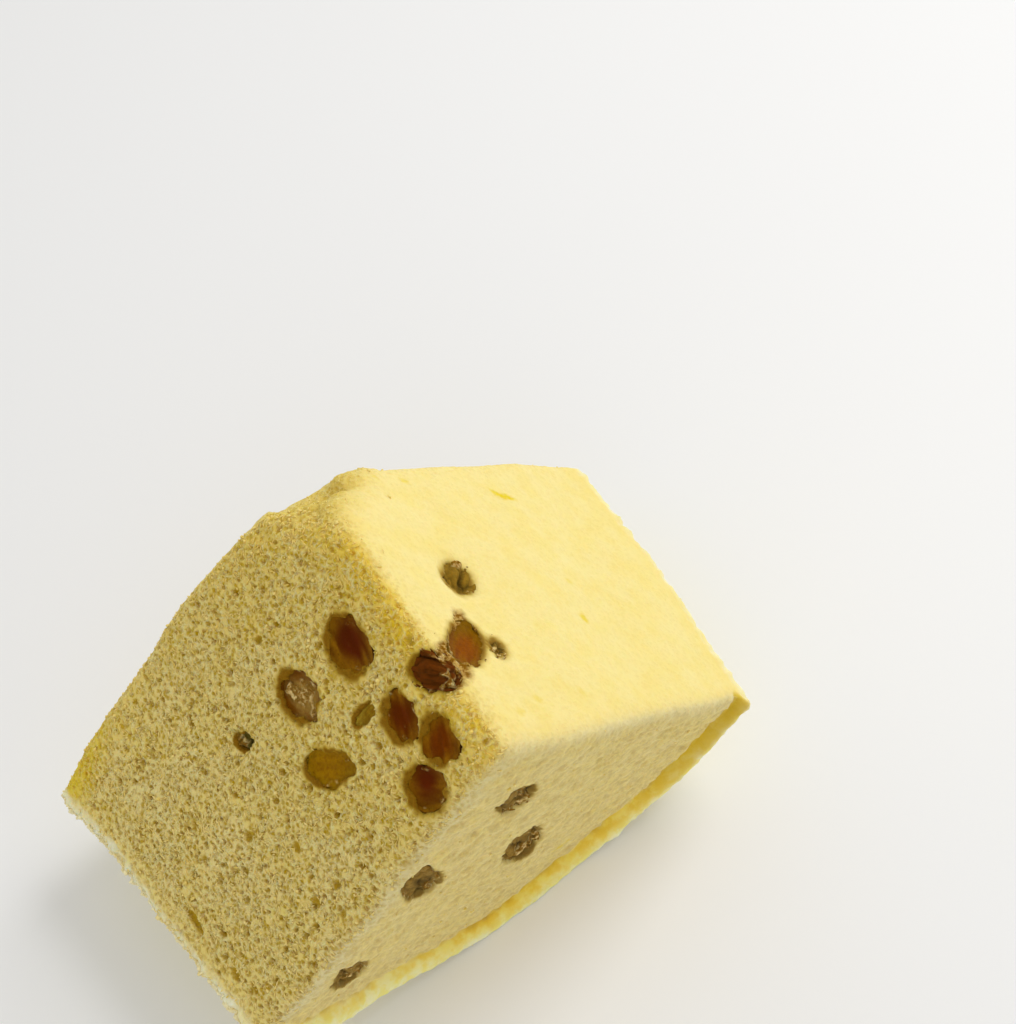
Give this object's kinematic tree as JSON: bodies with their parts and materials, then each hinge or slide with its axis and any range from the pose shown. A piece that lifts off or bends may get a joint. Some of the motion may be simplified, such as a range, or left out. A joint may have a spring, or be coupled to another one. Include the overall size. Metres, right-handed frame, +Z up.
{
  "type": "steamed raisin cake",
  "caption": "Quarter wedge of a round steamed sponge cake with raisins in its crumb, standing on its curved outer side with the cut ridge on top.",
  "frame": {"origin": "on the surface the wedge stands on, under the middle of its bounding box", "axes": "+Z up; +Y from the cake's narrow face towards its wide face; +X towards the right cut face"},
  "size_m": [0.1132, 0.069, 0.0786],
  "materials": {
    "crumb": "soft open sponge crumb, pale yellow, matte, slightly translucent, with a golden skin at the curved side",
    "raisin": "wrinkled dark olive-brown raisin, amber where cut, semi-gloss"
  },
  "bodies": {
    "root": {"sponge_crumb": "crumb", "raisin_left_1": "raisin", "raisin_left_2": "raisin", "raisin_left_3": "raisin", "raisin_left_4": "raisin", "raisin_left_5": "raisin", "raisin_left_6": "raisin", "raisin_left_7": "raisin", "raisin_left_8": "raisin", "raisin_left_9": "raisin", "raisin_right_1": "raisin", "raisin_right_2": "raisin", "raisin_right_3": "raisin", "raisin_narrow_1": "raisin", "raisin_narrow_2": "raisin", "raisin_narrow_3": "raisin", "raisin_narrow_4": "raisin", "raisin_wide_1": "raisin", "raisin_wide_2": "raisin", "raisin_wide_3": "raisin", "raisin_wide_4": "raisin"}
  },
  "joints": []
}
